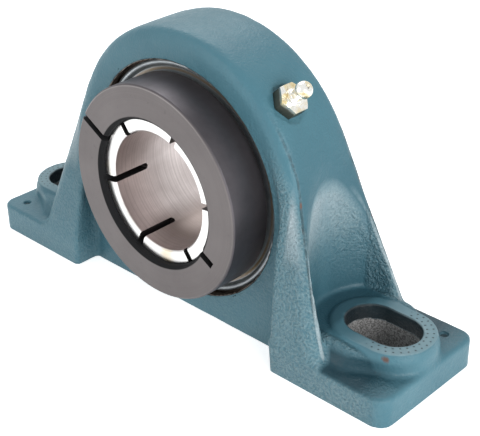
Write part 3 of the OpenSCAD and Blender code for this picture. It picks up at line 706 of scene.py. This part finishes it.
def turnedFinish(name, color, shade, roughness, rings, streak, depth):
    # metal with the fine rings that a lathe leaves
    f = Finish(name)
    lines = f.noise(rings, 2, 0.7, place=f.shaft().rings)
    wear = f.noise(55, 5, 0.6)
    tone = f.blend(f.ramp(wear, 0.3, 0.7), color, shade)
    tone = f.blend(f.ramp(lines, 0.40, 0.75, 0, streak), tone, tuple(part * 0.55 for part in shade))
    return f.set(color=tone, metal=1.0, rough=f.ramp(wear, 0.3, 0.7, *roughness), normal=f.bump(lines, depth))


ringLook = {
    "bore": (0.76, 0.69, 0.675), "boreDark": (0.40, 0.35, 0.34), "oil": (0.19, 0.155, 0.14),
    "end": (0.90, 0.89, 0.875), "gold": (0.74, 0.56, 0.26), "wall": (0.016, 0.014, 0.014),
    "roughness": (0.32, 0.42), "endSmooth": 0.06, "lines": 1500, "lineDepth": 0.00003, "anisotropic": 0.75,
    "oilShare": 0.85, "oilTurns": ((-2.28, -1.90), (-0.60, -1.10)), "oilAlong": (-29.0, -17.0),
    "boreWall": (25.6, 25.2), "endFace": (-29.2, -29.8),
}


def ringFinish():
    # the inner ring: a warm grey bore, bright finger ends, and painted shade on the slot walls
    look = dotted(ringLook)
    f = Finish("innerRingSteel")
    p = f.shaft()
    lines = f.noise(look.lines, 2, 0.7, place=p.rings)
    wear = f.noise(60, 4, 0.6)
    turn = f.calc("ARCTAN2", p.up, p.x)
    start, end = look.oilTurns
    oil = f.within((turn, start), (turn, end), (p.radius, look.boreWall), (p.y, look.oilAlong))
    onEnd = f.ramp(p.y, *look.endFace)
    # painted shade: the slot walls are near black and not metal
    wall = f.slitWall(p)
    tone = f.coats(f.blend(f.ramp(wear, 0.3, 0.7, 0.15, 0.65), look.bore, look.boreDark), [
        (f.ramp(lines, 0.40, 0.70, 0, 0.65), look.boreDark),
        # painted shade at the bottom of the bore
        (f.times(oil, look.oilShare), look.oil),
        (onEnd, look.end),
        (f.times(onEnd, f.ramp(f.noise(48, 2, 0.5), 0.58, 0.66, 0, 0.5)), look.gold),
        (wall, look.wall),
    ])
    tangent = f.node("ShaderNodeTangent", direction_type="RADIAL", axis="Y")
    rough = f.minus(f.ramp(wear, 0.3, 0.7, *look.roughness), f.times(onEnd, look.endSmooth))
    return f.set(color=tone, metal=f.minus(1.0, wall), rough=rough, normal=f.bump(lines, look.lineDepth),
                 anisotropic=look.anisotropic, tangent=tangent.outputs[0])


collarLook = {
    "face": (0.172, 0.156, 0.155), "faceDark": (0.135, 0.122, 0.122), "faceLine": (0.09, 0.08, 0.08),
    "side": (0.112, 0.103, 0.112), "sideDark": (0.070, 0.064, 0.071), "speck": (0.03, 0.028, 0.03),
    "worn": (0.34, 0.32, 0.315), "wall": (0.007, 0.007, 0.008),
    "metal": 0.8, "specular": 0.25, "roughness": (0.40, 0.48), "faceRough": 0.04, "wallRough": 0.4,
    "fineShare": 0.6, "depth": 0.00003,
    "faceAt": (-32.4, -32.9), "rimRadius": (43.25, 43.45), "rimAt": (-32.6, -32.9),
    "rimLight": (-10, 30, 0.1, 0.7), "wallRadius": (43.8, 43.7), "boreRadius": (31.6, 31.2),
}


def collarFinish():
    # black oxide, with a turned face paler than the outside, and painted shade on the slit walls and in the bore
    look = dotted(collarLook)
    f = Finish("collarOxide")
    p = f.shaft()
    lines = f.noise(3200, 2, 0.7, place=p.rings)
    broad = f.noise(38, 4, 0.6)
    fine = f.noise(420, 4, 0.65)
    onFace = f.ramp(p.y, *look.faceAt)
    # a painted highlight along the outer edge of the face, strongest on its upper left
    rim = f.within((p.radius, look.rimRadius), (p.y, look.rimAt), (f.minus(p.up, p.x), look.rimLight))
    # painted shade: the slit walls and the bore are near black and not metal
    wall = f.times(f.slitWall(p), f.ramp(p.radius, *look.wallRadius))
    wall = f.highest(wall, f.ramp(p.radius, *look.boreRadius))
    face = f.blend(f.ramp(broad, 0.36, 0.74, 0, 0.5), look.face, look.faceDark)
    tone = f.coats(f.blend(f.ramp(broad, 0.36, 0.70), look.side, look.sideDark), [
        (onFace, face),
        (f.times(f.ramp(lines, 0.45, 0.75, 0, 0.26), onFace), look.faceLine),
        (f.ramp(fine, 0.62, 0.74, 0, 0.22), look.speck),
        (rim, look.worn),
        (wall, look.wall),
    ])
    normal = f.bump(f.plus(f.times(lines, onFace), f.times(fine, look.fineShare)), look.depth)
    dull = f.highest(f.times(onFace, look.faceRough), f.times(wall, look.wallRough))
    rough = f.plus(f.ramp(broad, 0.3, 0.7, *look.roughness), dull)
    metal = f.minus(look.metal, f.times(wall, look.metal))
    return f.set(color=tone, metal=metal, rough=rough, normal=normal, specular=look.specular)


flingerLook = {
    "steel": (0.50, 0.545, 0.565), "steelDark": (0.33, 0.36, 0.375), "brown": (0.27, 0.17, 0.07),
    "metal": 0.55, "roughness": (0.29, 0.42), "lines": 1300, "depth": 0.00004,
    "greaseOuter": (45.5, 45.0), "greaseInner": (44.0, 44.3),
}


def flingerFinish():
    look = dotted(flingerLook)
    f = Finish("flingerSteel")
    p = f.shaft()
    lines = f.noise(look.lines, 2, 0.7, place=p.rings)
    wear = f.noise(70, 4, 0.6)
    # a painted brown reflection in a thin ring where the disc passes behind the collar
    brownReflection = f.within((p.radius, look.greaseOuter), (p.radius, look.greaseInner), (wear, (0.3, 0.6, 0.95, 0.6)))
    tone = f.coats(f.blend(f.ramp(wear, 0.35, 0.70), look.steel, look.steelDark), [
        (f.ramp(lines, 0.45, 0.75, 0, 0.35), look.steelDark),
        (brownReflection, look.brown),
    ])
    return f.set(color=tone, metal=look.metal, rough=f.ramp(wear, 0.3, 0.7, *look.roughness),
                 normal=f.bump(lines, look.depth))


zincLook = {
    "zinc": (0.84, 0.84, 0.80), "gold": (0.74, 0.60, 0.30), "brown": (0.30, 0.21, 0.09),
    "grime": (0.10, 0.105, 0.085), "grimeOut": (66.4, 65.0), "grimeRagged": 3, "grimeRough": 0.25,
    "metal": 0.95, "roughness": (0.16, 0.30), "depth": 0.00002, "bumpStrength": 0.7,
}


def zincFinish():
    look = dotted(zincLook)
    f = Finish("zincPlate")
    stain = f.noise(210, 3, 0.55, 0.4)
    tint = f.noise(420, 2, 0.5)
    # painted shade low on the sides of the hexagon, next to the housing
    p = f.shaft()
    turn = math.radians(housing["fittingTurn"])
    out = f.plus(f.times(p.x, math.cos(turn)), f.times(p.up, math.sin(turn)),
                 f.times(f.minus(stain, 0.5), look.grimeRagged))
    grime = f.ramp(out, *look.grimeOut)
    tone = f.coats(look.zinc, [
        (f.ramp(stain, 0.46, 0.66, 0, 0.85), look.gold),
        (f.ramp(tint, 0.64, 0.74, 0, 0.5), look.brown),
        (grime, look.grime),
    ])
    rough = f.plus(f.ramp(stain, 0.3, 0.7, *look.roughness), f.times(grime, look.grimeRough))
    normal = f.bump(f.noise(1400, 2, 0.6), look.depth, look.bumpStrength)
    return f.set(color=tone, metal=look.metal, rough=rough, normal=normal)


rubberLook = {
    "dark": (0.05, 0.028, 0.015), "brown": (0.12, 0.07, 0.03), "roughness": (0.45, 0.6), "depth": 0.00005,
}


def rubberFinish():
    look = dotted(rubberLook)
    f = Finish("sealRubber")
    grain = f.noise(700, 3, 0.6)
    tone = f.blend(f.ramp(f.noise(70, 3, 0.5), 0.3, 0.7), look.dark, look.brown)
    return f.set(color=tone, rough=f.ramp(grain, 0.3, 0.7, *look.roughness), normal=f.bump(grain, look.depth))


paint = paintFinish()
oxide = collarFinish()
innerRingSteel = ringFinish()
flingerSteel = flingerFinish()
zinc = zincFinish()
rubber = rubberFinish()
steel = {name: turnedFinish(name, **look) for name, look in turnedLook.items()}
print("finishes made")

# the CAD's own solids that stay in the picture; any other one takes the paint
balls = ["ball_%02d" % (i + 1) for i in range(10)]
solids = [
    (steel["darkSteel"], ["outer_ring"]), (oxide, ["collar_screw"]),
    (rubber, ["front_seal_lip", "rear_seal_lip"]),
    (steel["cageSteel"], ["cage_front", "cage_rear", "front_seal_case", "rear_seal_case"]),
    (steel["ballSteel"], balls + ["anti_rotation_pin", "cage_rivets", "fitting_spring", "fitting_check_ball"]),
]
cadFinish = {nodeName: finish for finish, names in solids for nodeName in names}
for nodeName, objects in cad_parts.items():
    for obj in objects if isinstance(objects, (list, tuple)) else [objects]:
        if obj.type == "MESH":
            obj.data.materials.clear()
            obj.data.materials.append(cadFinish.get(nodeName, paint))


def fitPiece(obj, finish, body, node):
    # the piece takes its finish, rides on its body and stands for its CAD node
    obj.data.materials.clear()
    obj.data.materials.append(finish)
    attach(obj, body)
    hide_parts(node)


fitPiece(makeHousing(), paint, "housing", "housing")

collar = {
    "bore": 30.05, "outer": 44.2, "front": -33.0, "rear": -14.2, "chamfer": 0.8, "mouth": 1.2, "edge": 0.2,
    "slitTurn": 149.5, "slitWidth": 2.9, "slitBeyond": 5, "reliefWidth": 3.1, "reliefDepth": 7.5,
    "screwOffset": 37.2, "screwRadius": 3.05, "headRadius": 5.4, "headSeat": 9.0, "screwLength": 22.0, "steps": 3,
}


def makeCollar():
    c = dotted(collar)
    rim, e = c.outer - c.chamfer, c.edge
    obj = turned("clampCollar", [
        (c.bore, c.rear, e), (rim, c.rear, e), (c.outer, c.rear - c.chamfer, e),
        (c.outer, c.front + c.chamfer, e), (rim, c.front, e),
        (c.bore + c.mouth, c.front, e), (c.bore, c.front + c.mouth, e)], steps=c.steps)
    start, end = c.front - clear, c.rear + clear
    middle = (c.front + c.rear) / 2
    screw = atAngle(c.slitTurn) @ Matrix.Translation((c.screwOffset, middle, 0))
    return cutWith(obj, [
        slitCutter(c.slitTurn, c.slitWidth, c.outer + c.slitBeyond, start, end),
        slitCutter(c.slitTurn + 180, c.reliefWidth, c.bore + c.reliefDepth, start, end),
        drillCutter(screw, c.screwRadius, -c.screwLength, c.screwLength),
        drillCutter(screw, c.headRadius, c.headSeat, c.headSeat + c.outer)])


fitPiece(makeCollar(), oxide, "inner_ring", "clamp_collar")

innerRing = {
    "bore": 24.6, "finger": 30.0, "fingerEnd": -30.2, "shoulder": 34.6, "shoulderHalf": 13.2,
    "tail": 32.0, "tailEnd": 17.5, "grooveRadius": 7.43, "grooveFloor": 31.576, "grooveSteps": 24,
    "chamfer": 0.7, "edge": 0.2, "fingerEdge": 0.35, "rootFillet": 0.3,
    "slots": 6, "slotTurn": 6.6, "slotWidth": 2.7, "slotEnd": -14.1, "slotBeyond": 1, "steps": 3,
}


def makeInnerRing():
    r = dotted(innerRing)
    e, mouth = r.edge, r.bore + r.chamfer
    grooveCentre = r.grooveFloor + r.grooveRadius
    reach = math.degrees(math.acos((grooveCentre - r.shoulder) / r.grooveRadius))
    groove = arc(grooveCentre, 0, r.grooveRadius, 180 + reach, 180 - reach, r.grooveSteps)
    fingers = [
        (mouth, r.fingerEnd, e), (r.finger, r.fingerEnd, r.fingerEdge),
        (r.finger, -r.shoulderHalf, r.rootFillet), (r.shoulder, -r.shoulderHalf, e)]
    tail = [
        (r.shoulder, r.shoulderHalf, e), (r.tail, r.shoulderHalf, e), (r.tail, r.tailEnd, e),
        (mouth, r.tailEnd, e), (r.bore, r.tailEnd - r.chamfer, e),
        (r.bore, r.fingerEnd + r.chamfer, e)]
    obj = turned("innerRing", fingers + groove + tail, steps=r.steps)
    outer, start = r.shoulder + r.slotBeyond, r.fingerEnd - clear
    return cutWith(obj, [
        slitCutter(r.slotTurn + i * 360 / r.slots, r.slotWidth, outer, start, r.slotEnd, roundEnd=True)
        for i in range(r.slots)])


fitPiece(makeInnerRing(), innerRingSteel, "inner_ring", "inner_ring")

flinger = {
    "hub": 34.62, "hubWall": 1.2, "hubEnd": 13.2, "hubStep": 0.6, "hubFillet": 0.2, "edge": 0.1,
    "rear": 11.9, "rearEdge": 0.15, "front": 12.9, "dish": 0.35, "dishInner": 41.0, "innerSoft": 3.0,
    "dishOuter": 45.6, "outerSoft": 0.5,
    "rimCircle": 47.4, "rimRadius": 1.2, "rimPlace": 13.25, "rimArc": (-76, 166, 26),
}


def makeFlinger(name, side):
    # side is -1 for the front flinger and 1 for the rear one
    g = dotted(flinger)
    inner = g.hub + g.hubWall
    rim = arc(g.rimCircle, g.rimPlace, g.rimRadius, *g.rimArc)
    corners = [(g.hub, g.rear, g.rearEdge), (g.rimCircle + g.rearEdge, g.rear, 0)] + rim + [
        (g.dishOuter, g.front - g.edge, g.outerSoft), (g.dishInner, g.front - g.dish, g.innerSoft),
        (inner + g.hubStep, g.front, g.hubFillet), (inner, g.hubEnd, g.edge), (g.hub, g.hubEnd, g.edge)]
    return turned(name, [(r, side * a, fillet) for r, a, fillet in corners])


fitPiece(makeFlinger("frontFlinger", -1), flingerSteel, "inner_ring", "front_flinger")
fitPiece(makeFlinger("rearFlinger", 1), flingerSteel, "inner_ring", "rear_flinger")

fitting = {
    "turn": 43.0, "offset": -5.4, "seat": 61.4, "flats": 11.1, "hexHeight": 5.2, "hexEdge": 0.7, "edge": 0.1,
    "hexFillet": 0.2, "footInset": 0.35, "footEdge": 0.25, "lift": 0.01, "trim": 1,
    "thread": 4.9, "threadLength": 7.0, "threadEdge": 0.6, "neck": 2.5, "neckDrop": 0.3, "neckFillet": 0.4,
    "shoulderTop": 6.2, "shoulderFillet": 0.25, "head": 3.3, "headPlace": 11.0, "headFlat": 0.8,
    "headSteps": 20, "hole": 0.8, "holeLength": 0.8, "holeFillet": 0.12, "chamber": 1.25, "chamberFloor": 3.0,
    "segments": 96,
}


def makeFitting():
    g = dotted(fitting)
    outward = Matrix.Rotation(math.radians(90), 4, "Y")
    place = atAngle(g.turn) @ Matrix.Translation((g.seat, g.offset, 0)) @ outward
    corner = g.flats / 2 / math.cos(math.radians(30))
    top = g.headPlace + g.head * g.headFlat
    low = -math.degrees(math.acos(g.neck / g.head))
    high = math.degrees(math.asin(g.headFlat))
    thread = [
        (g.hole, -g.threadLength, g.edge), (g.thread - g.threadEdge, -g.threadLength, 0),
        (g.thread, g.threadEdge - g.threadLength, 0), (g.thread, g.lift, 0)]
    body = [
        (corner - g.footInset, g.lift, 0), (corner, g.footEdge, 0),
        (corner, g.hexHeight - g.hexEdge / 2, 0), (corner - g.hexEdge, g.hexHeight, g.edge),
        (g.head, g.hexHeight, g.hexFillet), (g.head, g.shoulderTop, g.shoulderFillet),
        (g.neck, g.shoulderTop + g.neckDrop, g.neckFillet)]
    head = arc(0, g.headPlace, g.head, low, high, g.headSteps)
    hole = [
        (g.hole, top, g.holeFillet), (g.hole, top - g.holeLength, 0),
        (g.chamber, top - g.holeLength, 0), (g.chamber, g.chamberFloor, 0),
        (g.hole, g.chamberFloor, 0)]
    obj = turned("greaseFitting", thread + body + head + hole, place=place, segments=g.segments)
    turns = np.radians(np.arange(30, 390, 60))
    outline = [(corner * math.cos(t), corner * math.sin(t)) for t in turns]
    # the flats are what is left inside a six-sided bar
    return cutWith(obj, [prism(outline, -g.threadLength - g.trim, top + g.trim, place)], "INTERSECT")


fitPiece(makeFitting(), zinc, "housing", "grease_fitting")
print("pieces made")

# the floor's size is in metres
stage = {
    "floorSize": 6.0, "white": (0.94, 0.94, 0.94), "glow": 0.74, "roughness": 0.9, "specular": 0.1,
    "paperGrain": 60, "paperDepth": 0.0001, "sky": (0.86, 0.93, 0.97), "skyLight": 0.28,
}


def brightRays(tree):
    # one for rays that show the background: seen direct, in metal or through glass
    path = addNode(tree, "ShaderNodeLightPath")
    seen = path.outputs["Is Camera Ray"]
    for name in ("Is Glossy Ray", "Is Transmission Ray"):
        seen = addNode(tree, "ShaderNodeMath", {0: seen, 1: path.outputs[name]}, operation="MAXIMUM").outputs[0]
    return seen


def makeFloor():
    look = dotted(stage)
    s = look.floorSize
    mesh = bpy.data.meshes.new("floor")
    mesh.from_pydata([(-s, -s, 0), (s, -s, 0), (s, s, 0), (-s, s, 0)], [], [(0, 1, 2, 3)])
    floor = link("floor", mesh)
    f = Finish("floorPaper")
    grain = f.bump(f.noise(look.paperGrain), look.paperDepth)
    glow = f.times(brightRays(f.tree), look.glow)
    floor.data.materials.append(f.set(color=look.white, rough=look.roughness, specular=look.specular,
                                      normal=grain, glowColor=(1, 1, 1), glow=glow))


def makeWorld():
    # a dim sky lights the part, and a white one shows behind it and in the metal
    world = bpy.data.worlds.new("studio")
    bpy.context.scene.world = world
    world.use_nodes = True
    tree = world.node_tree
    tree.nodes.clear()
    dim = addNode(tree, "ShaderNodeBackground", {"Color": stage["sky"], "Strength": stage["skyLight"]})
    bright = addNode(tree, "ShaderNodeBackground", {"Color": (1, 1, 1)})
    pick = addNode(tree, "ShaderNodeMixShader", {0: brightRays(tree), 1: dim.outputs[0], 2: bright.outputs[0]})
    addNode(tree, "ShaderNodeOutputWorld", {0: pick.outputs[0]})


# places and sizes in metres, power in watts
lampAim = (0, 0, 0.05)
lamps = {
    "rightLamp": {"place": (0.92, -0.28, 0.34), "size": (0.6, 0.5), "power": 6.6},
    "frontLamp": {"place": (-0.35, -0.85, 0.35), "size": (0.6, 0.6), "power": 2.1},
    "topLamp": {"place": (-0.50, 0.34, 0.82), "size": (0.8, 0.5), "power": 4.6},
}


def makeLamp(name, place, size, power):
    light = bpy.data.lights.new(name, "AREA")
    light.shape = "RECTANGLE"
    light.size, light.size_y = size
    light.energy = power
    lamp = link(name, light)
    lamp.location = place
    lamp.rotation_euler = (Vector(lampAim) - Vector(place)).to_track_quat("-Z", "Y").to_euler()


# where the photographer stood: degrees, mm, and a focal length in pixels of the photo
camera = {
    "turn": 44.052, "height": 29.037, "roll": -0.976, "focal": 1125.1, "photoWidth": 480, "sensor": 36,
    "distance": 482.1, "right": 10.700, "up": 29.134, "clipStart": 0.01,
}


def makeCamera():
    c = dotted(camera)
    turn, height, roll = (math.radians(angle) for angle in (c.turn, c.height, c.roll))
    back = Vector((math.sin(turn) * math.cos(height), -math.cos(turn) * math.cos(height), math.sin(height)))
    right = (-back).cross(Vector((0, 0, 1))).normalized()
    up = right.cross(-back)
    side = math.cos(roll) * right + math.sin(roll) * up
    rise = -math.sin(roll) * right + math.cos(roll) * up
    data = bpy.data.cameras.new("camera")
    data.sensor_fit = "HORIZONTAL"
    data.sensor_width = c.sensor
    data.lens = c.focal / c.photoWidth * c.sensor
    data.clip_start = c.clipStart
    obj = link("camera", data)
    matrix = Matrix((side, rise, back)).transposed().to_4x4()
    matrix.translation = (side * c.right + rise * c.up + back * c.distance) * mm
    obj.matrix_world = matrix
    bpy.context.scene.camera = obj


makeFloor()
makeWorld()
for lampName, values in lamps.items():
    makeLamp(lampName, **values)
makeCamera()
bpy.context.scene.view_settings.view_transform = "Standard"
print("stage, lamps and camera placed")
